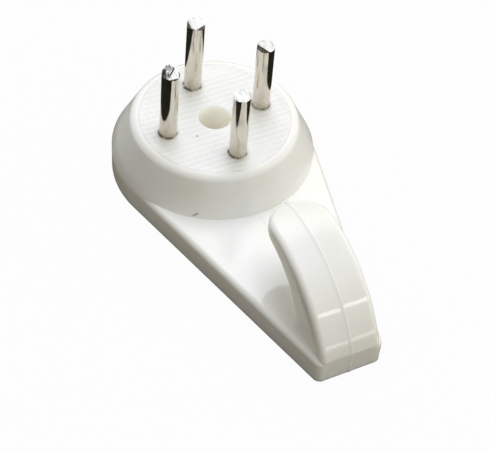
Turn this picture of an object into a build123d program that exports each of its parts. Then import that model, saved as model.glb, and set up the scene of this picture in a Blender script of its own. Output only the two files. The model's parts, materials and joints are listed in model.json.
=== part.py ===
from build123d import *
import math
import os

# Hard-wall picture hook: one moulded plastic body that carries four steel pins.
# Millimetres. X runs across the hook, +Y up the wall, +Z out of the wall.
# The origin is on the boss's axis, in the flat back face that lies on the wall.

# Back plate, from its round head to the end that hangs below
PLATE_THICKNESS = 3.0
HEAD_RADIUS = 11.45
PLATE_DROP = 33.0
PLATE_END_HALF_WIDTH = 4.0
PLATE_CORNER_RADIUS = 0.9
PLATE_DRAFT = 1.5
PLATE_EDGE_ROUND = 0.6

# Boss that the pins stand in, measured from the plate's face
BOSS_HEIGHT = 4.4
BOSS_TOP_RADIUS = 9.3
BOSS_RIM_ROUND = 1.0
FACE_RIM_WIDTH = 0.8
FACE_RECESS_DEPTH = 0.06

# Screw hole on the boss's axis
SCREW_HOLE_RADIUS = 1.85

# Pins of cut wire, pressed into holes of their own diameter
PIN_RADIUS = 1.0
PIN_CIRCLE_RADIUS = 5.77
PIN_HOLE_CLEARANCE = 0.0
PIN_POINT_LENGTH = 2.4
PIN_POINT_FLAT = 0.12
PIN_POINT_SET_BACK = 0.3

# How far each pin stands out of the boss's face, up to the middle of its sheared end
PIN_LEFT_LENGTH = 9.1
PIN_TOP_LENGTH = 9.3
PIN_RIGHT_LENGTH = 8.7
PIN_BOTTOM_LENGTH = 8.6

# Each pin's place on the pin circle in degrees from +X, its length out of the boss,
# and the slope of its sheared end with the direction in which that end falls
PINS = {
    "pin_left": (180, PIN_LEFT_LENGTH, 9, -30),
    "pin_top": (90, PIN_TOP_LENGTH, 4, -30),
    "pin_right": (0, PIN_RIGHT_LENGTH, 11, -30),
    "pin_bottom": (-90, PIN_BOTTOM_LENGTH, 1, 150),
}

# Hook tongue, measured from the plate's end and from the plate's face:
# it rises off the end, curls over its crown and points up the wall. Points of its
# section are in Y and Z
TONGUE_HALF_WIDTH = 3.55
TONGUE_REACH = 16.0
TONGUE_CROWN_REACH = 12.1
TONGUE_CROWN_HEIGHT = 8.0
TONGUE_TIP_THICKNESS = 1.15
TONGUE_OUTER_ROUND = 0.7
TONGUE_INNER_BREAK = 0.25
TONGUE_FOOT_ROUND = 0.4

# Throat under the tongue, from its foot on the plate's face over the bend to the tip
TONGUE_ROOT_LENGTH = 5.8
THROAT_FOOT_ANGLE = 75
THROAT_FOOT_ROUND = 0.6
THROAT_BEND_REACH = 4.0
THROAT_BEND_HEIGHT = 5.1

# Witness line that the mould leaves round the middle of the tongue
PARTING_BEAD_WIDTH = 0.45
PARTING_BEAD_HEIGHT = 0.05

# Planes that more than one piece takes its place from
PLATE_END_Y = -PLATE_DROP
PLATE_DRAFT_RUN = PLATE_THICKNESS * math.tan(math.radians(PLATE_DRAFT))
BOSS_TOP_Z = PLATE_THICKNESS + BOSS_HEIGHT
BOSS_FACE_Z = BOSS_TOP_Z - FACE_RECESS_DEPTH
TONGUE_TIP_Y = PLATE_END_Y + TONGUE_REACH
TONGUE_CROWN = Vector(PLATE_END_Y + TONGUE_CROWN_REACH, PLATE_THICKNESS + TONGUE_CROWN_HEIGHT)
THROAT_FOOT = Vector(PLATE_END_Y + TONGUE_ROOT_LENGTH, PLATE_THICKNESS)
THROAT_BEND = THROAT_FOOT + Vector(THROAT_BEND_REACH, THROAT_BEND_HEIGHT)


def plate_outline():
    """Round head with straight sides that run, tangent to it, to a narrow square end."""
    corner = Vector(
        PLATE_END_HALF_WIDTH - PLATE_CORNER_RADIUS,
        PLATE_END_Y + PLATE_CORNER_RADIUS,
    )
    lean = math.acos((HEAD_RADIUS - PLATE_CORNER_RADIUS) / corner.length)
    side = math.atan2(corner.Y, corner.X) + lean
    normal = Vector(math.cos(side), math.sin(side))
    head_end = normal * HEAD_RADIUS
    corner_start = corner + normal * PLATE_CORNER_RADIUS
    corner_end = corner + Vector(0, -PLATE_CORNER_RADIUS)
    with BuildSketch() as outline:
        with BuildLine():
            ThreePointArc(head_end, (0, HEAD_RADIUS), (-head_end.X, head_end.Y))
            for way in (1, -1):
                Line((way * head_end.X, head_end.Y), (way * corner_start.X, corner_start.Y))
                TangentArc(
                    (way * corner_start.X, corner_start.Y),
                    (way * corner_end.X, corner_end.Y),
                    tangent=(way * normal.Y, -normal.X),
                )
            Line((-corner_end.X, corner_end.Y), (corner_end.X, corner_end.Y))
        make_face()
    return outline.sketch


def plate_blank():
    """Plate with square edges, drafted so that it is widest at its face."""
    blank = extrude(plate_outline(), amount=-PLATE_THICKNESS, taper=PLATE_DRAFT)
    return Pos(0, 0, PLATE_THICKNESS) * blank


def back_plate():
    """Plate with the edge of its face rounded."""
    blank = plate_blank()
    return fillet(blank.edges().group_by(Axis.Z)[-1], PLATE_EDGE_ROUND)


def boss():
    """Truncated cone that stands on the head, with a rounded rim and a recessed face."""
    with BuildPart() as turned:
        with BuildSketch(Plane.XZ):
            with BuildLine():
                Polyline(
                    (0, 0),
                    (HEAD_RADIUS - PLATE_DRAFT_RUN, 0),
                    (HEAD_RADIUS, PLATE_THICKNESS),
                    (BOSS_TOP_RADIUS, BOSS_TOP_Z),
                    (0, BOSS_TOP_Z),
                    close=True,
                )
            make_face()
        revolve(axis=Axis.Z)
        fillet(turned.edges().group_by(Axis.Z)[-1], BOSS_RIM_ROUND)
    recess = Cylinder(BOSS_TOP_RADIUS - FACE_RIM_WIDTH, 2 * FACE_RECESS_DEPTH)
    return turned.part - Pos(0, 0, BOSS_TOP_Z) * recess


def tongue_side_view():
    """Section of the tongue and its root in the plane of symmetry, in Y and Z.

    One arc makes the outer face, from the plate's end over the crown to the tip. Two
    tangent arcs make the throat, and a round joins it to the plate's face. Another
    takes the edge off the outer foot.
    """
    outer_foot = Vector(PLATE_END_Y, PLATE_THICKNESS)
    run, rise = TONGUE_CROWN_REACH, TONGUE_CROWN_HEIGHT
    outer_radius = (run**2 + rise**2) / (2 * rise)
    past_crown = TONGUE_TIP_Y - TONGUE_CROWN.X
    drop = outer_radius - math.sqrt(outer_radius**2 - past_crown**2)
    tip_top = TONGUE_CROWN + Vector(past_crown, -drop)
    tip_under = tip_top - Vector(0, TONGUE_TIP_THICKNESS)
    throat_start = Vector(1, 0).rotate(Axis.Z, THROAT_FOOT_ANGLE)
    ledge = THROAT_FOOT + Vector(3 * THROAT_FOOT_ROUND, 0)
    root_foot = Vector(PLATE_END_Y + PLATE_DRAFT_RUN, 0)
    with BuildSketch(Plane.YZ) as section:
        with BuildLine():
            ThreePointArc(outer_foot, TONGUE_CROWN, tip_top)
            Line(tip_top, tip_under)
            throat = TangentArc(THROAT_FOOT, THROAT_BEND, tangent=throat_start)
            TangentArc(THROAT_BEND, tip_under, tangent=throat % 1)
            Polyline(THROAT_FOOT, ledge, (ledge.X, 0), root_foot, outer_foot)
        make_face()
        fillet(section.vertices().sort_by_distance(THROAT_FOOT)[0], THROAT_FOOT_ROUND)
        fillet(section.vertices().sort_by_distance(outer_foot)[0], TONGUE_FOOT_ROUND)
    return section.sketch


def tongue_plan():
    """Tongue seen from the front: parallel sides and a half-round tip."""
    sides_end_y = TONGUE_TIP_Y - TONGUE_HALF_WIDTH
    length = sides_end_y - PLATE_END_Y
    strip = Pos(0, sides_end_y - length / 2) * Rectangle(2 * TONGUE_HALF_WIDTH, length)
    return strip + Pos(0, sides_end_y) * Circle(TONGUE_HALF_WIDTH)


def long_edges(faces):
    """Edges of the faces that run along the tongue and round its tip, not across it."""
    return faces.edges().filter_by(Axis.X, reverse=True)


def tongue():
    """Tongue and its root: side view and plan carried through each other.

    The outer face's edges are rounded and the throat's are broken, as far as the tip's
    wall leaves room, and the foot keeps inside the plate's corners.
    """
    side = extrude(tongue_side_view(), amount=2 * TONGUE_HALF_WIDTH, both=True)
    blank = side & extrude(tongue_plan(), amount=2 * TONGUE_CROWN.Y)
    inner_break = min(TONGUE_INNER_BREAK, TONGUE_TIP_THICKNESS / 3)
    outer_round = min(TONGUE_OUTER_ROUND, 0.9 * (TONGUE_TIP_THICKNESS - inner_break))
    throat_faces = blank.faces().sort_by_distance(Plane.YZ.from_local_coords(THROAT_BEND))[:2]
    blank = chamfer(long_edges(throat_faces), inner_break)
    outer_face = blank.faces().sort_by_distance(Plane.YZ.from_local_coords(TONGUE_CROWN))[:1]
    blank = fillet(long_edges(outer_face), outer_round)
    above_face = Pos(0, 0, PLATE_THICKNESS) * plate_outline()
    footprint = plate_blank() + extrude(above_face, amount=TONGUE_CROWN.Y)
    return blank & footprint


def parting_bead():
    """Low bead round the tongue and down the plate's end, where the mould's halves met."""
    outline = offset(tongue_side_view(), PARTING_BEAD_HEIGHT)
    bead = extrude(outline, amount=PARTING_BEAD_WIDTH / 2, both=True)
    reach = 2 * (HEAD_RADIUS + PLATE_DROP)
    behind_wall = Pos(0, 0, -reach / 2) * Box(reach, reach, reach)
    return bead - behind_wall


def on_pin_circle(angle):
    """Place of a pin's axis, at an angle from +X round the boss."""
    return Pos(Vector(PIN_CIRCLE_RADIUS, 0).rotate(Axis.Z, angle))


def hook_body():
    """Plate, boss and tongue moulded in one, with the screw hole and the pin holes."""
    body = back_plate() + boss() + tongue() + parting_bead()
    body -= Cylinder(SCREW_HOLE_RADIUS, 3 * BOSS_TOP_Z)
    pin_hole = Cylinder(PIN_RADIUS + PIN_HOLE_CLEARANCE, 3 * BOSS_TOP_Z)
    for angle, *_ in PINS.values():
        body -= on_pin_circle(angle) * pin_hole
    return body


def pin(angle, stand_out, shear_slope, shear_heading):
    """Cut wire with a conical point at the wall and a sheared end out of the boss."""
    top = BOSS_FACE_Z + stand_out
    with BuildPart() as wire:
        with BuildSketch(Plane.XZ):
            with BuildLine():
                Polyline(
                    (0, PIN_POINT_SET_BACK),
                    (PIN_POINT_FLAT, PIN_POINT_SET_BACK),
                    (PIN_RADIUS, PIN_POINT_SET_BACK + PIN_POINT_LENGTH),
                    (PIN_RADIUS, top + PIN_RADIUS),
                    (0, top + PIN_RADIUS),
                    close=True,
                )
            make_face()
        revolve(axis=Axis.Z)
    waste_size = 4 * PIN_RADIUS
    waste = Box(waste_size, waste_size, waste_size, align=(Align.CENTER, Align.CENTER, Align.MIN))
    shear = Pos(0, 0, top) * Rot(0, 0, shear_heading) * Rot(0, shear_slope, 0)
    return on_pin_circle(angle) * (wire.part - shear * waste)


def main():
    os.makedirs("parts", exist_ok=True)
    export_step(hook_body(), "parts/hook_body.step")
    for name, (angle, stand_out, shear_slope, shear_heading) in PINS.items():
        wire = pin(angle, stand_out, shear_slope, shear_heading)
        export_step(wire, f"parts/{name}.step")


if __name__ == "__main__":
    main()
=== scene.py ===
import json
import math

import bmesh
import bpy
import numpy as np
from bpy.props import FloatProperty, FloatVectorProperty, IntProperty, PointerProperty
from bpy.types import Operator, Panel, PropertyGroup
from mathutils import Matrix, Vector


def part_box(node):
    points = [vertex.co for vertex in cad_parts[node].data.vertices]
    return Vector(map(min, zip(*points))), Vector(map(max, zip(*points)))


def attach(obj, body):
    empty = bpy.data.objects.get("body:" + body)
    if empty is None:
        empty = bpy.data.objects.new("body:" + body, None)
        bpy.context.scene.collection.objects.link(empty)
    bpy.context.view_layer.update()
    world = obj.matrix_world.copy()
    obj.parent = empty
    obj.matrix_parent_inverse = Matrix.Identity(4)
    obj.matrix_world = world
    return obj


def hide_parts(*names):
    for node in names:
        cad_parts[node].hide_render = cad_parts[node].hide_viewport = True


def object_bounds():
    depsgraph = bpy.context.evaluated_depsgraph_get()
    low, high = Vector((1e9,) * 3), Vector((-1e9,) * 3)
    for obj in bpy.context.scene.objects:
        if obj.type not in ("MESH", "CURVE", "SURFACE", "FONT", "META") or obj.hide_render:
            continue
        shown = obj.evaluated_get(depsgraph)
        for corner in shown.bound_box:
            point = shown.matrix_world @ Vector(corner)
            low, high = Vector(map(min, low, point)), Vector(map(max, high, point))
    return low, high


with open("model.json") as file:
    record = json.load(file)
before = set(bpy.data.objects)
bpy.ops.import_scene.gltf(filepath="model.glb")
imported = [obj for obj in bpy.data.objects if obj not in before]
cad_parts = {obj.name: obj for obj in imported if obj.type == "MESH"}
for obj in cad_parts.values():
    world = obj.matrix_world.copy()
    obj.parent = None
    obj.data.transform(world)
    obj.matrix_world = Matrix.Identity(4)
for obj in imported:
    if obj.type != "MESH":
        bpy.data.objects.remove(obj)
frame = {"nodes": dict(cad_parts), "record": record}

bl_info = {
    "name": "Hard-Wall Picture Hook",
    "version": (1, 0, 0),
    "blender": (4, 5, 0),
    "location": "3D View > Sidebar > Picture Hook",
    "description": "Moulded picture hook with a grained face and four pins of sheared wire",
    "category": "Object",
}

MM = 0.001
MERGE_DISTANCE = 0.001 * MM
CAD_BOX = [list(corner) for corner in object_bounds()]

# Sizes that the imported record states
SCREW_HOLE = next(mount for mount in frame["record"]["mounts"] if mount["name"] == "screw_hole")
SCREW_HOLE_RADIUS = SCREW_HOLE["dims"]["r_mm"] * MM
FACE_Z = SCREW_HOLE["dims"]["length_mm"] * MM

PIN_NODES = ("pin_left", "pin_top", "pin_right", "pin_bottom")


def pin_place(node):
    """Centre, radius, lowest and highest point of a pin of the frame, from its box."""
    low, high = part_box(node)
    return (low + high) / 2, (high.x - low.x) / 2, low.z, high.z


PIN_PLACES = {node: pin_place(node) for node in PIN_NODES}

# Ends of the four pins, as the shears left them. Lengths are shares of the wire's
# radius and angles are degrees from +X. Each end is a plane, a little under the pin's
# highest point, that slopes down towards "falls" and is torn on its high side, cut by
# chips and cracks and raised by burrs:
#   chip: heading, distance from the axis at which it starts, steepness and darkness, which is torn steel
#       and partly painted shade on a facet that faces away from the light
#   burr: heading, half width, and height
#   crack: place of its two ends, and half width
SHEARED_ENDS = {
    "pin_left": {
        "slope": 8.0, "falls": -30.0, "set_down": 0.24, "tear": 0.19,
        "chips": [(-88.0, 0.84, 0.8, 1.0), (168.0, 0.60, 0.6, 1.0), (-22.0, 0.86, 0.8, 0.8)],
        "burrs": [(86.0, 17.0, 0.48), (50.0, 8.0, 0.20), (126.0, 10.0, 0.16), (172.0, 15.0, 0.22)],
        "cracks": [
            (-0.62, 0.30, -0.40, 0.66, 0.14), (0.62, 0.58, -0.10, -0.14, 0.08),
            (-0.22, 0.24, -0.3, -0.1, 0.05),
        ],
    },
    "pin_top": {
        "slope": 4.0, "falls": -30.0, "set_down": 0.05, "tear": 0.02,
        "chips": [(-70.0, 0.74, 0.9, 0.9), (176.0, 0.74, 0.9, 0.9)],
        "burrs": [(40.0, 26.0, 0.05)],
        "cracks": [],
    },
    "pin_right": {
        "slope": 4.0, "falls": -32.0, "set_down": 0.06, "tear": 0.02,
        "chips": [(206.0, 0.44, 0.36, 1.0)],
        "burrs": [(110.0, 18.0, 0.06)],
        "cracks": [],
    },
    "pin_bottom": {
        "slope": 1.0, "falls": 150.0, "set_down": 0.02, "tear": 0.02,
        "chips": [(5.0, 0.93, 0.5, 0.5)],
        "burrs": [],
        "cracks": [],
    },
}

# How the ends break up, in the same shares: the waves of a torn side and their least
# and greatest radians a radius, the depth in them from which steel counts as torn and
# over which it comes to it, the same in a chip, the depth of a crack and the width of
# its edge, and the radius at which a burr starts to rise
TEAR_WAVES = 9
TEAR_CYCLES = (3.5, 9)
TORN_FROM, TORN_OVER = 0.035, 0.04
CHIPPED_OVER = 0.02
CRACK_DEPTH, CRACK_EDGE = 0.12, 0.05
BURR_START = 0.55

# Pin's point at the wall in the same shares: its length and the radius of its flat
POINT_LENGTH, POINT_FLAT = 2.4, 0.12

# Rows of points up a pin's point and its barrel, and rings over its end
POINT_ROWS, BARREL_ROWS, END_RINGS = 6, 44, 30

# Drawing lines: waves round the wire, and depth of the fine streaks and scratches
DRAWING_WAVES = (3, 5, 7, 9, 12, 16, 21, 27, 34)
STREAK_DEPTH = 0.002 * MM
SCRATCH_DEPTH = 0.005 * MM

# Grained face: points round it, rings of points across it, and widths in pitches of
# the grain: where its edges fade, where it climbs to the rim, and of a pin's dimple
FIELD_COLUMNS, FIELD_RINGS = 720, 110
FADE_PITCHES, CLIMB_PITCHES, DIMPLE_PITCHES = 0.35, 1.2, 0.6


# What the settings of one kind have in common
COLOUR = {"subtype": "COLOR", "size": 3, "min": 0, "max": 1}
SHARE = {"subtype": "FACTOR", "min": 0, "max": 1}
LENGTH = {"subtype": "DISTANCE", "unit": "LENGTH", "precision": 6}
ANGLE = {"subtype": "ANGLE", "unit": "ROTATION"}


class MouldedPlasticSettings(PropertyGroup):
    """Colours, glow and finish of the moulded plastic"""

    colour: FloatVectorProperty(
        name="Plastic", description="Colour of the moulded plastic",
        default=(0.865, 0.872, 0.87), **COLOUR,
    )
    deep_colour: FloatVectorProperty(
        name="Deep plastic", description="Warmer colour of the plastic in clouds through the moulding",
        default=(0.83, 0.825, 0.785), **COLOUR,
    )
    roughness: FloatProperty(
        name="Roughness", description="Roughness of the polished faces",
        default=0.06, **SHARE,
    )
    dull_roughness: FloatProperty(
        name="Dull roughness", description="Roughness round the boss, where the mould was less polished",
        default=0.24, **SHARE,
    )
    glow_depth: FloatProperty(
        name="Glow depth", description="How far light travels inside the milky plastic",
        default=0.8 * MM, **LENGTH,
    )
    glow_share: FloatProperty(
        name="Glow", description="Share of the light that travels inside the plastic",
        default=0.85, **SHARE,
    )
    bore_glow_depth: FloatProperty(
        name="Glow depth in the hole", description="How far light travels to the wall of the screw hole",
        default=3.0 * MM, **LENGTH,
    )
    # Plastic in the hole: brighter and creamier than the rest of the moulding, painted light
    bore_lit_colour: FloatVectorProperty(
        name="Plastic in the hole", description="Creamier colour of the plastic deep in the moulding",
        default=(0.97, 0.945, 0.87), **COLOUR,
    )
    # Glow in the hole: a painted glow, by emission
    bore_glow: FloatProperty(
        name="Glow in the hole", description="Strength of the light that reaches the hole's wall",
        min=0, default=0.085,
    )
    bore_roughness: FloatProperty(
        name="Roughness in the hole", description="Roughness of the screw hole's wall",
        default=0.3, **SHARE,
    )
    ripple: FloatProperty(
        name="Ripple", description="Height of the slow ripple that the mould's faces have",
        default=0.004 * MM, **LENGTH,
    )


class GrainSettings(PropertyGroup):
    """Ridges of the boss's face and the places round the pins"""

    outer_radius: FloatProperty(
        name="Field radius", description="Radius of the grained field, which ends under the rim",
        default=8.53 * MM, **LENGTH,
    )
    pitch: FloatProperty(
        name="Pitch", description="Distance from one ridge of the grain to the next",
        default=0.745 * MM, **LENGTH,
    )
    relief: FloatProperty(
        name="Relief", description="Height of the ridges over the ground between them",
        default=0.036 * MM, **LENGTH,
    )
    cross_share: FloatProperty(
        name="Cross ridges", description="Height of the ridges up the wall, as a share of the others",
        default=0.4, **SHARE,
    )
    roughness: FloatProperty(
        name="Roughness", description="Roughness of the grained plastic",
        default=0.38, **SHARE,
    )
    glow_share: FloatProperty(
        name="Glow", description="Share of the light that travels inside the grained face",
        default=0.3, **SHARE,
    )
    # Ground: painted shade between the ridges of the grain
    ground_shade_colour: FloatVectorProperty(
        name="Ground", description="Colour between the ridges, where the grain holds a little grime",
        default=(0.805, 0.81, 0.802), **COLOUR,
    )
    # Pin gap: painted shade round each pin, widest and darkest on the side where the pins' shadows fall
    gap_shade_colour: FloatVectorProperty(
        name="Pin gap", description="Colour of the shaded gap between a pin and the plastic",
        default=(0.20, 0.16, 0.11), **COLOUR,
    )
    gap_shade_width: FloatProperty(
        name="Pin gap width", description="Width of the shaded gap round each pin",
        default=0.26 * MM, **LENGTH,
    )
    shade_heading: FloatProperty(
        name="Pin gap heading", description="Side of each pin, from +X, on which the gap is widest",
        default=math.radians(-150.0), **ANGLE,
    )
    # Smudge: a painted shadow of each pin on the face, on that same side
    painted_shadow_width: FloatProperty(
        name="Smudge width", description="How far the smudge beside each pin reaches",
        default=1.5 * MM, **LENGTH,
    )
    painted_shadow: FloatProperty(
        name="Smudge", description="Strength of the smudge beside each pin",
        default=0.22, **SHARE,
    )
    dimple: FloatProperty(
        name="Pin dimple", description="Depth of the dimple round each pin",
        default=0.09 * MM, **LENGTH,
    )


class WireSettings(PropertyGroup):
    """Colours and finish of the wire and its sheared ends"""

    colour: FloatVectorProperty(
        name="Nickel", description="Colour of the plated wire",
        default=(0.74, 0.69, 0.615), **COLOUR,
    )
    bloom_colour: FloatVectorProperty(
        name="Bloom", description="Browner colour of the dull bloom on the wire near the boss",
        default=(0.64, 0.575, 0.475), **COLOUR,
    )
    bloom_length: FloatProperty(
        name="Bloom length", description="How far the bloom reaches up each wire from the boss",
        default=4.5 * MM, **LENGTH,
    )
    bloom_roughness: FloatProperty(
        name="Bloom roughness", description="Roughness of the wire where the bloom is full",
        default=0.34, **SHARE,
    )
    stain_share: FloatProperty(
        name="Stains", description="Brightness of a stain, as a share of the nickel's",
        default=0.62, **SHARE,
    )
    cut_colour: FloatVectorProperty(
        name="Sheared end", description="Colour of the bare steel at the sheared ends",
        default=(0.44, 0.445, 0.435), **COLOUR,
    )
    # Torn steel: dark where the steel broke; on the chips it is also painted shade
    torn_colour: FloatVectorProperty(
        name="Torn steel", description="Dark colour of the steel where it broke instead of being cut",
        default=(0.050, 0.041, 0.028), **COLOUR,
    )
    roughness: FloatProperty(
        name="Roughness", description="Roughness of the drawn wire",
        default=0.09, **SHARE,
    )
    groove_depth: FloatProperty(
        name="Drawing lines", description="Depth of the lines that the drawing die left along the wire",
        default=0.006 * MM, **LENGTH,
    )
    columns: IntProperty(
        name="Columns", description="Points round each wire", min=48, max=512, default=192,
    )


class StudioSettings(PropertyGroup):
    """Floor, card, even light and camera"""

    floor_colour: FloatVectorProperty(
        name="Floor", description="Colour of the pale floor",
        default=(0.8, 0.8, 0.8), **COLOUR,
    )
    card_colour: FloatVectorProperty(
        name="Card", description="Colour of the card under the hook, as bounced light meets it",
        default=(0.19, 0.155, 0.11), **COLOUR,
    )
    card_reflection: FloatVectorProperty(
        name="Card in reflections", description="Colour of the card under the hook in reflections",
        default=(0.022, 0.021, 0.017), **COLOUR,
    )
    fill: FloatProperty(
        name="Fill", description="Strength of the even light from all round",
        min=0, default=0.36,
    )
    fill_colour: FloatVectorProperty(
        name="Fill colour", description="Colour of the even light from all round",
        default=(1.0, 0.955, 0.86), **COLOUR,
    )
    azimuth: FloatProperty(
        name="Azimuth", description="Camera's turn round the hook, from straight below it",
        default=math.radians(-30.525), **ANGLE,
    )
    elevation: FloatProperty(
        name="Elevation", description="Camera's height angle over the hook",
        default=math.radians(47.941), **ANGLE,
    )
    roll: FloatProperty(
        name="Roll", description="Camera's turn about its own line of sight",
        default=math.radians(5.301), **ANGLE,
    )
    distance: FloatProperty(
        name="Distance", description="Camera's distance from the point that it looks at",
        default=222.679 * MM, **LENGTH,
    )
    aim: FloatVectorProperty(
        name="Aim", description="Point that the camera looks at",
        subtype="XYZ", unit="LENGTH", precision=5, size=3, default=(-0.882 * MM, -10.2 * MM, 0.0),
    )
    focal_length: FloatProperty(
        name="Focal length", description="Camera's focal length in millimetres on a 36 mm sensor",
        default=147.24,
    )


def mesh_points(mesh):
    """Places of a mesh's points, in rows of X, Y and Z."""
    points = np.empty(len(mesh.vertices) * 3)
    mesh.vertices.foreach_get("co", points)
    return points.reshape(-1, 3)


def ring_quads(rows, columns):
    """Faces of a grid of points whose last column meets its first, row by row."""
    row = np.arange(rows - 1)[:, None]
    column = np.arange(columns)[None, :]
    next_column = (column + 1) % columns
    corners = (
        row * columns + column,
        row * columns + next_column,
        (row + 1) * columns + next_column,
        (row + 1) * columns + column,
    )
    return np.stack(np.broadcast_arrays(*corners), axis=-1).reshape(-1, 4)


def fan(pole, first, columns, upwards):
    """Triangles from a pole to the ring of points that starts at the index first."""
    here = first + np.arange(columns)
    following = first + (np.arange(columns) + 1) % columns
    edge = (here, following) if upwards else (following, here)
    return np.stack((np.full(columns, pole), *edge), axis=-1)


def make_piece(name, points, faces, materials, face_materials, point_values, sharp_angle):
    """Mesh object on the hook's body, smooth apart from edges sharper than sharp_angle.

    Each of the point values becomes a mesh attribute that materials can read.
    """
    mesh = bpy.data.meshes.new(name)
    mesh.from_pydata(points.tolist(), [], [face for block in faces for face in block.tolist()])
    for material in materials:
        mesh.materials.append(material)
    mesh.polygons.foreach_set("material_index", face_materials)
    for value_name, values in point_values.items():
        attribute = mesh.attributes.new(value_name, "FLOAT", "POINT")
        attribute.data.foreach_set("value", np.asarray(values, dtype=np.float32))
    mesh.shade_smooth()
    mesh.set_sharp_from_angle(angle=math.radians(sharp_angle))
    mesh.validate()
    mesh.update()
    piece = bpy.data.objects.new(name, mesh)
    bpy.context.scene.collection.objects.link(piece)
    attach(piece, "root")
    return piece


def new_material(name):
    """Node material with one Principled shader, and its node tree and shader."""
    material = bpy.data.materials.new(name)
    material.use_nodes = True
    tree = material.node_tree
    tree.nodes.clear()
    shader = tree.nodes.new("ShaderNodeBsdfPrincipled")
    output = tree.nodes.new("ShaderNodeOutputMaterial")
    tree.links.new(shader.outputs["BSDF"], output.inputs["Surface"])
    return material, tree, shader


def object_place(tree):
    """Place of the shaded point on the hook, as Object coordinates."""
    return tree.nodes.new("ShaderNodeTexCoord").outputs["Object"]


def object_axes(tree):
    """X, Y and Z of the shaded point on the hook, as three sockets."""
    axes = tree.nodes.new("ShaderNodeSeparateXYZ")
    tree.links.new(object_place(tree), axes.inputs["Vector"])
    return axes.outputs


def noise(tree, cycles, detail=2.0, stretch=(1.0, 1.0, 1.0)):
    """Noise on Object coordinates, in cycles a metre, stretched along the axes."""
    mapping = tree.nodes.new("ShaderNodeMapping")
    mapping.inputs["Scale"].default_value = stretch
    texture = tree.nodes.new("ShaderNodeTexNoise")
    texture.inputs["Scale"].default_value = cycles
    texture.inputs["Detail"].default_value = detail
    tree.links.new(object_place(tree), mapping.inputs["Vector"])
    tree.links.new(mapping.outputs["Vector"], texture.inputs["Vector"])
    return texture.outputs["Fac"]


def point_value(tree, name):
    """Mesh attribute of the points."""
    node = tree.nodes.new("ShaderNodeAttribute")
    node.attribute_name = name
    return node.outputs["Fac"]


def math_node(tree, operation, first, second=None):
    """Result of one arithmetic step on one or two sockets."""
    node = tree.nodes.new("ShaderNodeMath")
    node.operation = operation
    tree.links.new(first, node.inputs[0])
    if second is not None:
        tree.links.new(second, node.inputs[1])
    return node.outputs["Value"]


def ranged(tree, value, source, target=(0.0, 1.0)):
    """Value carried from one range into another, held at its ends."""
    node = tree.nodes.new("ShaderNodeMapRange")
    node.inputs["From Min"].default_value, node.inputs["From Max"].default_value = source
    node.inputs["To Min"].default_value, node.inputs["To Max"].default_value = target
    tree.links.new(value, node.inputs["Value"])
    return node.outputs["Result"]


def mixed(tree, share, first, second):
    """Colour between two others. Each is a colour or a socket."""
    node = tree.nodes.new("ShaderNodeMix")
    node.data_type = "RGBA"
    tree.links.new(share, node.inputs["Factor"])
    for socket, colour in ((node.inputs[6], first), (node.inputs[7], second)):
        if isinstance(colour, bpy.types.NodeSocket):
            tree.links.new(colour, socket)
        else:
            socket.default_value = (*colour, 1.0)
    return node.outputs[2]


def blended(tree, share, first, second):
    """Shader between two others."""
    node = tree.nodes.new("ShaderNodeMixShader")
    tree.links.new(share, node.inputs["Fac"])
    tree.links.new(first, node.inputs[1])
    tree.links.new(second, node.inputs[2])
    return node.outputs["Shader"]


def darkened(colour, share):
    """Colour with each channel brought down to a share of it."""
    return tuple(share * channel for channel in colour)


def bumped(tree, shader, height, distance):
    """Bump on the shader from a height of 0 to 1 that spans a distance in metres."""
    node = tree.nodes.new("ShaderNodeBump")
    node.inputs["Strength"].default_value = 1.0
    node.inputs["Distance"].default_value = distance
    tree.links.new(height, node.inputs["Height"])
    tree.links.new(node.outputs["Normal"], shader.inputs["Normal"])


def near_point(tree, centre, radius):
    """1 on a soft-edged spot about a point of the hook, 0 elsewhere."""
    away = tree.nodes.new("ShaderNodeVectorMath")
    away.operation = "DISTANCE"
    away.inputs[1].default_value = centre
    tree.links.new(object_place(tree), away.inputs[0])
    return ranged(tree, away.outputs["Value"], (0.6 * radius, radius), (1.0, 0.0))


# Bead that the mould leaves round the tongue in the plane of symmetry, and how much
# narrower its top is than its foot
BEAD_HALF_WIDTH = 0.225 * MM
BEAD_TOP_SHARE = 0.7

# Witness line of the mould in the same plane, from the boss's foot to the plate's end
WITNESS_HALF_WIDTH = 0.09 * MM
WITNESS_START_Y, WITNESS_END_Y = -11.3 * MM, -33.5 * MM
WITNESS_COLOUR = (0.66, 0.67, 0.66)
WITNESS_STRENGTH = 0.5


def witness_line(tree):
    """1 on the witness line of the plate, the tongue and the end, 0 elsewhere."""
    axes = object_axes(tree)
    aside = math_node(tree, "ABSOLUTE", axes["X"])
    across = ranged(tree, aside, (0.3 * WITNESS_HALF_WIDTH, WITNESS_HALF_WIDTH), (1.0, 0.0))
    below_boss = ranged(tree, axes["Y"], (WITNESS_START_Y, WITNESS_START_Y - MM))
    above_end = ranged(tree, axes["Y"], (WITNESS_END_Y, WITNESS_END_Y + MM))
    within = math_node(tree, "MULTIPLY", below_boss, above_end)
    return math_node(tree, "MULTIPLY", across, within)


# Specks of dust: place on the hook, radius and colour. The first lies on the boss's
# face, and the others make a dash at the boss's foot
SPECKS = (
    ((-3.09 * MM, -1.87 * MM, 7.36 * MM), 0.21 * MM, (0.62, 0.55, 0.42)),
    ((-6.80 * MM, -9.08 * MM, 3.21 * MM), 0.13 * MM, (0.50, 0.45, 0.38)),
    ((-6.59 * MM, -9.15 * MM, 3.34 * MM), 0.15 * MM, (0.30, 0.26, 0.22)),
    ((-6.39 * MM, -9.22 * MM, 3.47 * MM), 0.13 * MM, (0.40, 0.36, 0.30)),
)


def specked(tree, colour, specks):
    """Colour with specks of dust on it."""
    for centre, radius, speck_colour in specks:
        colour = mixed(tree, near_point(tree, centre, radius), colour, speck_colour)
    return colour


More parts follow.
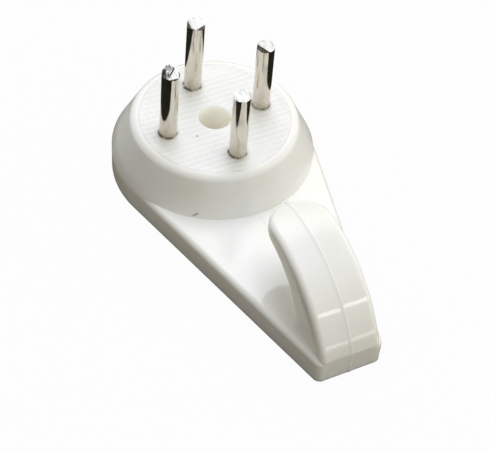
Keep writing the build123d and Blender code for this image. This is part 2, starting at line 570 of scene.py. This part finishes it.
# Between these places of Y the mould's polish grows, from the boss to the tongue, and
# between these heights it fades again towards the tongue's crown
DULL_Y, POLISHED_Y = -12.5 * MM, -19.0 * MM
POLISHED_Z, DULL_Z = 7.5 * MM, 10.5 * MM


def polish(tree, settings):
    """Roughness of the moulding: dull round the boss and on the tongue's crown, polished
    between them, with faint smears."""
    axes = object_axes(tree)
    near_boss = ranged(tree, axes["Y"], (POLISHED_Y, DULL_Y))
    near_crown = ranged(tree, axes["Z"], (POLISHED_Z, DULL_Z))
    dull = math_node(tree, "MAXIMUM", near_boss, near_crown)
    roughness = ranged(tree, dull, (0.0, 1.0), (settings.roughness, settings.dull_roughness))
    smears = ranged(tree, noise(tree, cycles=420.0, detail=4.0), (0.3, 0.7), (0.92, 1.1))
    return math_node(tree, "MULTIPLY", roughness, smears)


PLASTIC_IOR = 1.49
# How far red, green and blue light travel inside the plastic, as shares of the glow depth
GLOW_REACH = (1.0, 0.93, 0.84)


def glow(shader, share, depth):
    """Milky plastic: light that travels inside it, furthest in red."""
    shader.inputs["IOR"].default_value = PLASTIC_IOR
    shader.inputs["Subsurface Weight"].default_value = share
    shader.inputs["Subsurface Radius"].default_value = GLOW_REACH
    shader.inputs["Subsurface Scale"].default_value = depth


def plastic_material(settings):
    """Glossy white plastic: warmer clouds, a slow ripple, the witness line and the specks."""
    material, tree, shader = new_material("moulded_plastic")
    clouds = ranged(tree, noise(tree, cycles=120.0, detail=4.0), (0.38, 0.64))
    colour = mixed(tree, clouds, settings.colour, settings.deep_colour)
    line = ranged(tree, witness_line(tree), (0.0, 1.0), (0.0, WITNESS_STRENGTH))
    colour = mixed(tree, line, colour, WITNESS_COLOUR)
    tree.links.new(specked(tree, colour, SPECKS), shader.inputs["Base Color"])
    tree.links.new(polish(tree, settings), shader.inputs["Roughness"])
    glow(shader, settings.glow_share, settings.glow_depth)
    bumped(tree, shader, noise(tree, cycles=700.0), settings.ripple)
    return material


def bore_material(settings):
    """Plastic of the screw hole's wall: light travels far inside it, and its brighter, creamier colour
    and its emission are painted light, a painted glow.
    """
    material, tree, shader = new_material("bore_plastic_painted_glow")
    clouds = ranged(tree, noise(tree, cycles=900.0, detail=3.0), (0.35, 0.65), (0.0, 0.4))
    colour = mixed(tree, clouds, settings.bore_lit_colour, settings.deep_colour)
    tree.links.new(colour, shader.inputs["Base Color"])
    shader.inputs["Roughness"].default_value = settings.bore_roughness
    glow(shader, 1.0, settings.bore_glow_depth)
    # Painted glow: the wall emits light in its brighter cream colour
    shader.inputs["Emission Color"].default_value = (*settings.bore_lit_colour, 1.0)
    shader.inputs["Emission Strength"].default_value = settings.bore_glow
    bumped(tree, shader, noise(tree, cycles=2600.0), settings.ripple)
    return material


def grained_material(plastic, grain):
    """Plastic of the boss's face: ridges over a ground with painted shade between them, less of it in
    random patches, fine stipple, and painted shade round each pin that comes and goes, with a painted
    shadow beside it."""
    material, tree, shader = new_material("grained_plastic")
    # Painted shade: the ground between the ridges is darker than the ridges and the field's edges, and
    # less so in random patches
    pale = ranged(tree, point_value(tree, "unshaded"), (0.15, 0.75))
    shade_thinned = ranged(tree, noise(tree, cycles=170.0, detail=3.0), (0.44, 0.62), (0.0, 0.75))
    pale = math_node(tree, "MAXIMUM", pale, shade_thinned)
    colour = mixed(tree, pale, grain.ground_shade_colour, plastic.colour)
    stipple = ranged(tree, noise(tree, cycles=3200.0, detail=3.0), (0.48, 0.72), (0.0, 0.45))
    colour = mixed(tree, stipple, colour, grain.ground_shade_colour)
    # Painted shade and painted shadow round the pins, broken up in patches
    patches = ranged(tree, noise(tree, cycles=1300.0), (0.38, 0.58))
    gap = math_node(tree, "MULTIPLY", point_value(tree, "gap"), patches)
    colour = mixed(tree, gap, colour, grain.gap_shade_colour)
    tree.links.new(specked(tree, colour, SPECKS[:1]), shader.inputs["Base Color"])
    roughness = (0.8 * grain.roughness, 1.3 * grain.roughness)
    dull = ranged(tree, noise(tree, cycles=1500.0, detail=3.0), (0.3, 0.7), roughness)
    tree.links.new(dull, shader.inputs["Roughness"])
    glow(shader, grain.glow_share, plastic.glow_depth)
    bumped(tree, shader, noise(tree, cycles=2600.0), 3.0 * plastic.ripple)
    return material


def nickel_material(settings):
    """Bright drawn nickel: streaks along the wire, stains, and a dull bloom near the boss."""
    material, tree, shader = new_material("drawn_nickel")
    up_the_wire = (FACE_Z, FACE_Z + settings.bloom_length)
    near_boss = ranged(tree, object_axes(tree)["Z"], up_the_wire, (1.0, 0.0))
    streaks = noise(tree, cycles=5200.0, detail=3.0, stretch=(1.0, 1.0, 0.03))
    stains = ranged(tree, noise(tree, cycles=1500.0, detail=4.0, stretch=(1.0, 1.0, 0.25)), (0.5, 0.75))
    cloudy = noise(tree, cycles=3000.0, detail=3.0, stretch=(1.0, 1.0, 0.6))
    bloom = math_node(tree, "MULTIPLY", near_boss, ranged(tree, cloudy, (0.35, 0.65), (0.25, 1.0)))
    colour = mixed(tree, stains, settings.colour, darkened(settings.colour, settings.stain_share))
    tree.links.new(mixed(tree, bloom, colour, settings.bloom_colour), shader.inputs["Base Color"])
    shader.inputs["Metallic"].default_value = 1.0
    worn = ranged(tree, streaks, (0.3, 0.7), (0.6 * settings.roughness, 1.6 * settings.roughness))
    dull = ranged(tree, bloom, (0.0, 1.0), (0.0, settings.bloom_roughness))
    tree.links.new(math_node(tree, "MAXIMUM", worn, dull), shader.inputs["Roughness"])
    bumped(tree, shader, streaks, STREAK_DEPTH)
    return material


def sheared_material(settings):
    """Bare steel of a sheared end: scratches across the cut, and dark steel where it tore, which on the
    chips is partly painted shade.
    """
    material, tree, shader = new_material("sheared_steel")
    scratches = noise(tree, cycles=5200.0, detail=4.0, stretch=(1.0, 0.14, 1.0))
    shade = ranged(tree, scratches, (0.48, 0.72), (0.0, 0.34))
    cut = mixed(tree, shade, settings.cut_colour, darkened(settings.cut_colour, 0.3))
    mottle = ranged(tree, noise(tree, cycles=4200.0, detail=3.0), (0.35, 0.6), (0.8, 1.0))
    torn = math_node(tree, "MULTIPLY", point_value(tree, "torn"), mottle)
    tree.links.new(mixed(tree, torn, cut, settings.torn_colour), shader.inputs["Base Color"])
    shader.inputs["Metallic"].default_value = 1.0
    tree.links.new(ranged(tree, scratches, (0.3, 0.7), (0.28, 0.5)), shader.inputs["Roughness"])
    bumped(tree, shader, scratches, SCRATCH_DEPTH)
    return material


def grain_ridges(x, y, settings):
    """Ridges of the boss's face from 0 to 1, at points of the face.

    Ridges that run across the hook are a cosine of Y raised to a power, so that they
    are narrower than the ground between them. Cross ridges are the same of X, and the
    higher of the two counts.
    """
    def ridge(across):
        return (0.5 + 0.5 * np.cos(2 * np.pi * across / settings.pitch)) ** 1.6

    return np.maximum(ridge(y), settings.cross_share * ridge(x))


def near_pins(x, y, reach, heading=None):
    """1 at the wire of the nearest pin, falling in a straight line to 0 at the reach.

    With a heading the reach is full on that side of each pin and a tenth of it on the
    other, by the cosine of the angle between them.
    """
    nearness = np.zeros(np.broadcast(x, y).shape)
    for centre, radius, _, _ in PIN_PLACES.values():
        away_x, away_y = x - centre.x, y - centre.y
        away = np.hypot(away_x, away_y) - radius
        side = 1.0
        if heading is not None:
            side = 0.55 + 0.45 * np.cos(np.arctan2(away_y, away_x) - heading)
        nearness = np.maximum(nearness, np.clip(1 - away / (side * reach), 0, 1))
    return nearness


class PICTUREHOOK_OT_moulding(Operator):
    """Makes the moulded body in milky plastic, with the grain on the boss's face"""

    bl_idname = "picturehook.moulding"
    bl_label = "Moulded Body"

    def execute(self, context):
        plastic = context.scene.picturehook_plastic
        grain = context.scene.picturehook_grain
        shell_points, shell_faces = self.shell(grain.outer_radius)
        in_field = np.hypot(shell_points[:, 0], shell_points[:, 1]) < 1.01 * grain.outer_radius
        rim_z = shell_points[in_field, 2].max()
        field_points, field_faces, unshaded, gap = self.grained_field(grain, rim_z)
        # Material of each face: 0 polished, 1 grained, 2 the screw hole's wall
        middles = shell_points[shell_faces].mean(axis=1)
        in_bore = np.hypot(middles[:, 0], middles[:, 1]) < SCREW_HOLE_RADIUS + MERGE_DISTANCE
        face_materials = np.concatenate((2 * in_bore, np.ones(len(field_faces)))).astype(np.int32)
        off_field = np.zeros(len(shell_points))
        body = make_piece(
            "moulded_body",
            np.vstack((shell_points, field_points)),
            [shell_faces, field_faces + len(shell_points)],
            [plastic_material(plastic), grained_material(plastic, grain), bore_material(plastic)],
            face_materials,
            {
                "unshaded": np.concatenate((off_field, unshaded)),
                "gap": np.concatenate((off_field, gap)),
            },
            sharp_angle=30.0,
        )
        self.soften_bead(body.data)
        flats = body.modifiers.new("flats", "WEIGHTED_NORMAL")
        flats.mode = "FACE_AREA_WITH_ANGLE"
        flats.keep_sharp = True
        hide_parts("hook_body")
        return {"FINISHED"}

    def shell(self, field_radius):
        """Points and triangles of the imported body, merged, without its recessed face.

        The floor of the recess goes, and the wall round it. The top of the witness
        bead is drawn in towards the plane of symmetry, so that its sides slope.
        """
        merged = bmesh.new()
        merged.from_mesh(frame["nodes"]["hook_body"].data)
        bmesh.ops.remove_doubles(merged, verts=merged.verts, dist=MERGE_DISTANCE)
        recess = [
            face for face in merged.faces
            if all(
                vertex.co.z > FACE_Z - MERGE_DISTANCE and vertex.co.xy.length < field_radius
                for vertex in face.verts
            )
        ]
        bmesh.ops.delete(merged, geom=recess, context="FACES")
        bmesh.ops.triangulate(merged, faces=merged.faces)
        mesh = bpy.data.meshes.new("shell")
        merged.to_mesh(mesh)
        merged.free()
        points = mesh_points(mesh)
        triangles = np.empty(len(mesh.loops), dtype=np.int32)
        mesh.loops.foreach_get("vertex_index", triangles)
        bpy.data.meshes.remove(mesh)
        triangles = triangles.reshape(-1, 3)
        self.slope_bead(points, triangles)
        return points, triangles

    def slope_bead(self, points, triangles):
        """Draws the top of the witness bead in, wherever a triangle of it faces away from X."""
        corners = points[triangles]
        across = np.cross(corners[:, 1] - corners[:, 0], corners[:, 2] - corners[:, 0])
        facing_x = np.abs(across[:, 0]) / np.maximum(np.linalg.norm(across, axis=1), 1e-18)
        in_bead = np.abs(corners[:, :, 0]).max(axis=1) < BEAD_HALF_WIDTH + MERGE_DISTANCE
        top = np.unique(triangles[in_bead & (facing_x < 0.1)])
        points[top, 0] *= BEAD_TOP_SHARE

    def soften_bead(self, mesh):
        """Clears the sharp edges along the witness bead, so that it shades as a round one."""
        points = mesh_points(mesh)
        ends = np.empty(len(mesh.edges) * 2, dtype=np.int32)
        mesh.edges.foreach_get("vertices", ends)
        ends = ends.reshape(-1, 2)
        along = (np.abs(points[ends, 0]) < BEAD_HALF_WIDTH + MERGE_DISTANCE).all(axis=1)
        along &= (points[ends, 1] < WITNESS_START_Y).all(axis=1)
        along &= np.abs(points[ends[:, 0], 0] - points[ends[:, 1], 0]) < MERGE_DISTANCE
        sharp = mesh.attributes["sharp_edge"]
        values = np.empty(len(mesh.edges), dtype=bool)
        sharp.data.foreach_get("value", values)
        sharp.data.foreach_set("value", values & ~along)

    def grained_field(self, settings, rim_z):
        """Surface of the boss's face from the screw hole to just under the rim, with the
        unshaded share and the painted shade round the pins at each point.

        A point lies at a radius and an angle round the boss's axis, and its height is
        a function of X and Y, which fades to the ground at the edges of the field. The
        ground climbs to the rim along a smooth step. Near a pin it sinks into a shallow
        dimple, by the square of the nearness. The unshaded share is the ridges', and full
        at the edges of the field; the ground between the ridges takes painted shade. The
        painted shade is full at a pin, and a painted shadow goes on from it by the
        square of the nearness.
        """
        turn = np.linspace(0, 2 * np.pi, FIELD_COLUMNS, endpoint=False)[None, :]
        radius = np.linspace(settings.outer_radius, SCREW_HOLE_RADIUS, FIELD_RINGS)[:, None]
        x, y = radius * np.cos(turn), radius * np.sin(turn)
        edge = np.minimum(settings.outer_radius - radius, radius - SCREW_HOLE_RADIUS)
        fade = np.clip(edge / (FADE_PITCHES * settings.pitch), 0, 1)
        ridge = grain_ridges(x, y, settings)
        dimple = near_pins(x, y, DIMPLE_PITCHES * settings.pitch) ** 2
        climb = np.clip(1 - (settings.outer_radius - radius) / (CLIMB_PITCHES * settings.pitch), 0, 1)
        ground = FACE_Z + (rim_z - MERGE_DISTANCE - FACE_Z) * climb**2 * (3 - 2 * climb)
        z = ground + settings.relief * fade * ridge * (1 - dimple) - settings.dimple * dimple
        # Painted shade round each pin, widest on the side where the shadows fall, and a painted shadow
        # beyond it
        gap = np.clip(2 * near_pins(x, y, settings.gap_shade_width, settings.shade_heading), 0, 1)
        painted_shadow = settings.painted_shadow * near_pins(x, y, settings.painted_shadow_width, settings.shade_heading) ** 2
        gap = np.maximum(gap, painted_shadow)
        unshaded = 1 - fade * (1 - ridge)
        points = np.stack((x, y, z), axis=-1).reshape(-1, 3)
        return points, ring_quads(FIELD_RINGS, FIELD_COLUMNS), unshaded.ravel(), gap.ravel()


def heading_vector(degrees):
    """X and Y of a step of one in a direction, in degrees from +X."""
    return math.cos(math.radians(degrees)), math.sin(math.radians(degrees))


def sheared_end(x, y, cut, seed):
    """Height of a sheared end over its axis, and its torn share, for points in wire radii.

    A plane that slopes down towards its heading. From its start outwards each chip
    falls away from it in a straight line, and the lower of the two counts. A crack is
    a shallow trench about a straight run, by the distance from it. Each burr is a bell
    curve of the angle round the rim that grows towards the rim. The torn part is a sum
    of sine waves in X and Y, strongest on the side that faces away from the slope.
    Steel counts as torn in the chips, the cracks and the hollows of those waves. On a chip the dark
    colour is partly painted shade of a facet that faces away from the light.
    """
    fall_x, fall_y = heading_vector(cut["falls"])
    downhill = x * fall_x + y * fall_y
    height = -math.tan(math.radians(cut["slope"])) * downhill
    rng = np.random.default_rng(seed)
    turns = rng.uniform(0, 2 * np.pi, TEAR_WAVES)
    ripples = rng.uniform(*TEAR_CYCLES, TEAR_WAVES)
    phases = rng.uniform(0, 6.3, TEAR_WAVES)
    waves = sum(
        np.sin(ripple * (x * math.cos(turn) + y * math.sin(turn)) + phase)
        for turn, ripple, phase in zip(turns, ripples, phases)
    ) / math.sqrt(TEAR_WAVES)
    roughened = cut["tear"] * waves * np.clip(0.2 - 0.9 * downhill, 0, 1)
    height = height + roughened
    torn = np.clip((-roughened - TORN_FROM) / TORN_OVER, 0, 1)
    for heading, start, steepness, darkness in cut["chips"]:
        out_x, out_y = heading_vector(heading)
        chip = height + steepness * (start - x * out_x - y * out_y)
        # A chip's dark colour: torn steel, and partly painted shade on its facet
        torn = np.maximum(torn, darkness * np.clip((height - chip) / CHIPPED_OVER, 0, 1))
        height = np.minimum(height, chip)
    for start_x, start_y, end_x, end_y, half_width in cut["cracks"]:
        run_x, run_y = end_x - start_x, end_y - start_y
        along = np.clip(((x - start_x) * run_x + (y - start_y) * run_y) / (run_x**2 + run_y**2), 0, 1)
        away = np.hypot(x - start_x - along * run_x, y - start_y - along * run_y)
        opened = np.clip((half_width - away) / CRACK_EDGE, 0, 1)
        height = height - CRACK_DEPTH * opened
        torn = np.maximum(torn, opened)
    radius, angle = np.hypot(x, y), np.arctan2(y, x)
    for heading, half_width, burr in cut["burrs"]:
        turned = np.angle(np.exp(1j * (angle - math.radians(heading))))
        bell = np.exp(-((turned / math.radians(half_width)) ** 2))
        height = height + burr * bell * np.clip((radius - BURR_START) / (1 - BURR_START), 0, 1) ** 1.5
    return height, torn


def drawn_lines(turn, along, seed):
    """Depth of the drawing lines from 0 to 1, round the wire and along it.

    Sine waves of many whole numbers of turns, each with its own phase that drifts
    slowly along the wire, so that no line keeps its strength from end to end.
    """
    rng = np.random.default_rng(seed)
    depth = np.zeros(np.broadcast(turn, along).shape)
    for wave in DRAWING_WAVES:
        phase, drift = rng.uniform(0, 2 * np.pi), rng.uniform(-0.5, 0.5)
        depth += np.sin(wave * turn + phase + drift * along) / math.sqrt(wave)
    spread = sum(1 / math.sqrt(wave) for wave in DRAWING_WAVES)
    return 0.5 + 0.5 * depth / spread


class PICTUREHOOK_OT_wires(Operator):
    """Makes the four pins of drawn wire, each with its own sheared end"""

    bl_idname = "picturehook.wires"
    bl_label = "Wire Pins"

    def execute(self, context):
        settings = context.scene.picturehook_wire
        materials = [nickel_material(settings), sheared_material(settings)]
        for seed, node in enumerate(PIN_NODES):
            points, faces, face_materials, torn = self.wire(node, seed, settings)
            piece = make_piece(
                node + "_wire", points, faces, materials,
                face_materials, {"torn": torn}, sharp_angle=38.0,
            )
            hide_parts(node)
        return {"FINISHED"}

    def wire(self, node, seed, settings):
        """Surface of one pin, turned about its axis, and its torn share at each point.

        Rows run from the flat of the point up its cone, then up the barrel, where the
        radius is the wire's less the drawing lines and the last row follows the height
        of the sheared end at the rim. From there rings shrink to the axis over the end.
        """
        centre, radius, low, high = PIN_PLACES[node]
        cut = SHEARED_ENDS[node]
        columns = settings.columns
        turn = np.linspace(0, 2 * np.pi, columns, endpoint=False)[None, :]
        ring_x, ring_y = np.cos(turn), np.sin(turn)

        point_length, point_flat = POINT_LENGTH * radius, POINT_FLAT * radius
        cone = np.linspace(0, 1, POINT_ROWS)[:, None]
        cone_radius = point_flat + (radius - point_flat) * cone + 0 * turn
        cone_z = low + point_length * cone + 0 * turn

        # The CAD pin's top is the high side of its plane, so the axis lies below it.
        # Nothing stands higher than the CAD's own box
        rise = math.tan(math.radians(cut["slope"]))
        axis_top = high - radius * (rise + cut["set_down"])

        def end_surface(x, y):
            height, torn = sheared_end(x, y, cut, seed)
            return np.minimum(axis_top + radius * height, CAD_BOX[1][2] - MERGE_DISTANCE), torn

        rim, rim_torn = end_surface(ring_x, ring_y)
        share = np.linspace(0, 1, BARREL_ROWS)[1:, None]
        barrel_z = (low + point_length) * (1 - share) + rim * share
        along = (barrel_z - low) / radius
        settled = np.clip(share * 6, 0, 1)
        lines = settings.groove_depth * drawn_lines(turn, along, seed) * settled
        barrel_radius = radius - lines

        end_share = np.linspace(1, 0, END_RINGS + 1)[1:-1, None]
        end_radius = end_share * barrel_radius[-1:]
        end_z, end_torn = end_surface(end_radius * ring_x / radius, end_radius * ring_y / radius)
        axis_z, axis_torn = end_surface(np.zeros(1), np.zeros(1))

        radii = np.vstack((cone_radius, barrel_radius, end_radius))
        heights = np.vstack((cone_z, barrel_z, end_z))
        surface = np.stack(
            (centre.x + radii * ring_x, centre.y + radii * ring_y, heights), axis=-1
        ).reshape(-1, 3)
        poles = np.array([[centre.x, centre.y, low], [centre.x, centre.y, axis_z[0]]])
        points = np.vstack((surface, poles))
        below_rim = np.zeros((len(radii) - len(end_radius) - 1, columns))
        torn = np.vstack((below_rim, rim_torn, end_torn)).ravel()
        torn = np.concatenate((torn, [0.0], axis_torn))

        rows = len(radii)
        sides = ring_quads(rows, columns)
        bottom = fan(len(surface), 0, columns, upwards=False)
        crown = fan(len(surface) + 1, (rows - 1) * columns, columns, upwards=True)
        end_faces = (END_RINGS - 1) * columns
        face_materials = np.concatenate((
            np.zeros(len(sides) - end_faces), np.ones(end_faces),
            np.zeros(columns), np.ones(columns),
        )).astype(np.int32)
        return points, [sides, bottom, crown], face_materials, torn


# Soft lamps: azimuth from straight below the hook, growing towards +X, elevation,
# width, height, power and colour. All stand at one distance and face the hook
LAMPS = {
    "key_softbox": (150.0, 70.0, 0.28, 0.28, 1.10, (0.75, 0.80, 1.0)),
    "right_top_softbox": (90.0, 70.0, 0.28, 0.28, 0.78, (1.0, 0.98, 0.87)),
    "low_right_softbox": (45.0, 8.0, 0.24, 0.24, 0.92, (0.92, 1.0, 0.98)),
    "side_right_softbox": (90.0, 8.0, 0.24, 0.24, 0.72, (1.0, 0.95, 0.90)),
    "back_sweep": (180.0, 8.0, 0.24, 0.24, 1.05, (0.88, 1.0, 0.77)),
    "back_left_softbox": (240.0, 48.0, 0.26, 0.26, 0.19, (0.90, 1.0, 0.85)),
    "low_front_softbox": (0.0, 8.0, 0.24, 0.24, 0.30, (1.0, 0.93, 0.76)),
    "gloss_softbox": (149.0, 48.5, 0.34, 0.26, 0.74, (1.0, 1.0, 1.0)),
    "gloss_strip": (25.0, 33.0, 0.11, 0.032, 0.065, (1.0, 1.0, 0.97)),
    "edge_strip": (20.0, 4.0, 0.10, 0.03, 0.03, (1.0, 1.0, 0.97)),
}
# Lamps that the hook's polish reflects. The others only light it
REFLECTED_LAMPS = ("gloss_softbox", "gloss_strip", "edge_strip")
LAMP_DISTANCE = 0.6

# Floor and card: radius and height of each, both just under the hook, and how far the
# floor reads as white
FLOOR_RADIUS, FLOOR_Z = 4.0, -0.02 * MM
CARD_RADIUS, CARD_Z = 0.35, -0.01 * MM
FLOOR_WHITENESS = 0.97
DISC_COLUMNS = 96


def direction(azimuth, elevation):
    """Unit vector from the hook towards a camera or lamp at these angles."""
    return Vector((
        math.sin(azimuth) * math.cos(elevation),
        -math.cos(azimuth) * math.cos(elevation),
        math.sin(elevation),
    ))


class PICTUREHOOK_OT_studio(Operator):
    """Sets up the pale floor, the dark card, the soft lamps, the world and the camera"""

    bl_idname = "picturehook.studio"
    bl_label = "Studio"

    def execute(self, context):
        settings = context.scene.picturehook_studio
        self.floor(settings)
        self.dark_card(settings)
        self.lamps(settings)
        self.world(context.scene, settings)
        self.camera(context.scene, settings)
        context.scene.view_settings.view_transform = "Standard"
        return {"FINISHED"}

    def flat_disc(self, name, radius, z, material):
        """Disc about the hook: one ring of points round a pole."""
        turn = np.linspace(0, 2 * np.pi, DISC_COLUMNS, endpoint=False)
        heights = np.full(DISC_COLUMNS, z)
        ring = np.stack((radius * np.cos(turn), radius * np.sin(turn), heights), axis=-1)
        mesh = bpy.data.meshes.new(name)
        faces = fan(DISC_COLUMNS, 0, DISC_COLUMNS, upwards=True)
        mesh.from_pydata(np.vstack((ring, [[0, 0, z]])).tolist(), [], faces.tolist())
        mesh.materials.append(material)
        disc = bpy.data.objects.new(name, mesh)
        bpy.context.scene.collection.objects.link(disc)
        return disc

    def white_for_camera(self, tree):
        """1 for rays that come from the camera or a reflection, 0 for bounced light."""
        path = tree.nodes.new("ShaderNodeLightPath")
        seen = path.outputs["Is Camera Ray"]
        for ray in ("Is Glossy Ray", "Is Transmission Ray"):
            seen = math_node(tree, "MAXIMUM", seen, path.outputs[ray])
        return seen

    def floor(self, settings):
        """Pale floor that takes the hook's shadow and otherwise reads as white."""
        material = bpy.data.materials.new("pale_floor")
        material.use_nodes = True
        tree = material.node_tree
        tree.nodes.clear()
        matt = tree.nodes.new("ShaderNodeBsdfDiffuse")
        matt.inputs["Color"].default_value = (*settings.floor_colour, 1.0)
        white = tree.nodes.new("ShaderNodeEmission")
        white.inputs["Strength"].default_value = 1.0
        output = tree.nodes.new("ShaderNodeOutputMaterial")
        share = ranged(tree, self.white_for_camera(tree), (0.0, 1.0), (0.0, FLOOR_WHITENESS))
        surface = blended(tree, share, matt.outputs["BSDF"], white.outputs["Emission"])
        tree.links.new(surface, output.inputs["Surface"])
        self.flat_disc("floor", FLOOR_RADIUS, FLOOR_Z, material)

    def dark_card(self, settings):
        """Card under the hook that only reflections and bounced light meet."""
        material, tree, shader = new_material("dark_card")
        path = tree.nodes.new("ShaderNodeLightPath")
        shade = mixed(tree, path.outputs["Is Glossy Ray"], settings.card_colour, settings.card_reflection)
        tree.links.new(shade, shader.inputs["Base Color"])
        shader.inputs["Roughness"].default_value = 0.9
        shader.inputs["Specular IOR Level"].default_value = 0.0
        card = self.flat_disc("dark_card", CARD_RADIUS, CARD_Z, material)
        card.visible_camera = False
        card.visible_shadow = False

    def lamps(self, settings):
        """Rectangular soft lamps that all face the hook."""
        centre = Vector(settings.aim)
        for name, (azimuth, elevation, width, height, power, colour) in LAMPS.items():
            lamp = bpy.data.lights.new(name, "AREA")
            lamp.shape = "RECTANGLE"
            lamp.size, lamp.size_y = width, height
            lamp.energy = power
            lamp.color = colour
            away = direction(math.radians(azimuth), math.radians(elevation))
            holder = bpy.data.objects.new(name, lamp)
            holder.location = centre + LAMP_DISTANCE * away
            holder.rotation_euler = away.to_track_quat("Z", "Y").to_euler()
            holder.visible_glossy = name in REFLECTED_LAMPS
            bpy.context.scene.collection.objects.link(holder)

    def world(self, scene, settings):
        """Even fill light, white wherever the camera or a reflection meets it."""
        world = bpy.data.worlds.new("studio")
        world.use_nodes = True
        scene.world = world
        tree = world.node_tree
        tree.nodes.clear()
        fill = tree.nodes.new("ShaderNodeBackground")
        fill.inputs["Color"].default_value = (*settings.fill_colour, 1.0)
        fill.inputs["Strength"].default_value = settings.fill
        white = tree.nodes.new("ShaderNodeBackground")
        white.inputs["Color"].default_value = (1.0, 1.0, 1.0, 1.0)
        output = tree.nodes.new("ShaderNodeOutputWorld")
        share = self.white_for_camera(tree)
        surface = blended(tree, share, fill.outputs["Background"], white.outputs["Background"])
        tree.links.new(surface, output.inputs["Surface"])

    def camera(self, scene, settings):
        """Camera at its angles round the aim, rolled about its line of sight."""
        away = direction(settings.azimuth, settings.elevation)
        right = Vector((math.cos(settings.azimuth), math.sin(settings.azimuth), 0.0))
        up = away.cross(right)
        level = Matrix((right, up, away)).transposed()
        turned = level @ Matrix.Rotation(settings.roll, 3, "Z")
        lens = bpy.data.cameras.new("camera")
        lens.sensor_width = 36.0
        lens.lens = settings.focal_length
        lens.clip_start = 0.01
        camera = bpy.data.objects.new("camera", lens)
        place = turned.to_4x4()
        place.translation = Vector(settings.aim) + settings.distance * away
        camera.matrix_world = place
        scene.collection.objects.link(camera)
        scene.camera = camera


class PICTUREHOOK_PT_sidebar(Panel):
    """Sizes and colours of the hook, and the buttons that make its pieces"""

    bl_label = "Picture Hook"
    bl_idname = "PICTUREHOOK_PT_sidebar"
    bl_space_type = "VIEW_3D"
    bl_region_type = "UI"
    bl_category = "Picture Hook"

    def draw(self, context):
        for name, group, operator in SECTIONS:
            box = self.layout.box()
            settings = getattr(context.scene, name)
            for identifier in group.__annotations__:
                box.prop(settings, identifier)
            if operator:
                box.operator(operator.bl_idname)


# Name in the scene of each group of settings, and the operator that it leads up to
SECTIONS = (
    ("picturehook_plastic", MouldedPlasticSettings, None),
    ("picturehook_grain", GrainSettings, PICTUREHOOK_OT_moulding),
    ("picturehook_wire", WireSettings, PICTUREHOOK_OT_wires),
    ("picturehook_studio", StudioSettings, PICTUREHOOK_OT_studio),
)
OPERATORS = [operator for _, _, operator in SECTIONS if operator]
CLASSES = [*(group for _, group, _ in SECTIONS), *OPERATORS, PICTUREHOOK_PT_sidebar]


def register():
    for cls in CLASSES:
        bpy.utils.register_class(cls)
    for name, group, _ in SECTIONS:
        setattr(bpy.types.Scene, name, PointerProperty(type=group))


def unregister():
    for name, _, _ in SECTIONS:
        delattr(bpy.types.Scene, name)
    for cls in reversed(CLASSES):
        bpy.utils.unregister_class(cls)


def main():
    register()
    bpy.ops.picturehook.moulding()
    bpy.ops.picturehook.wires()
    bpy.ops.picturehook.studio()


if __name__ == "__main__":
    main()
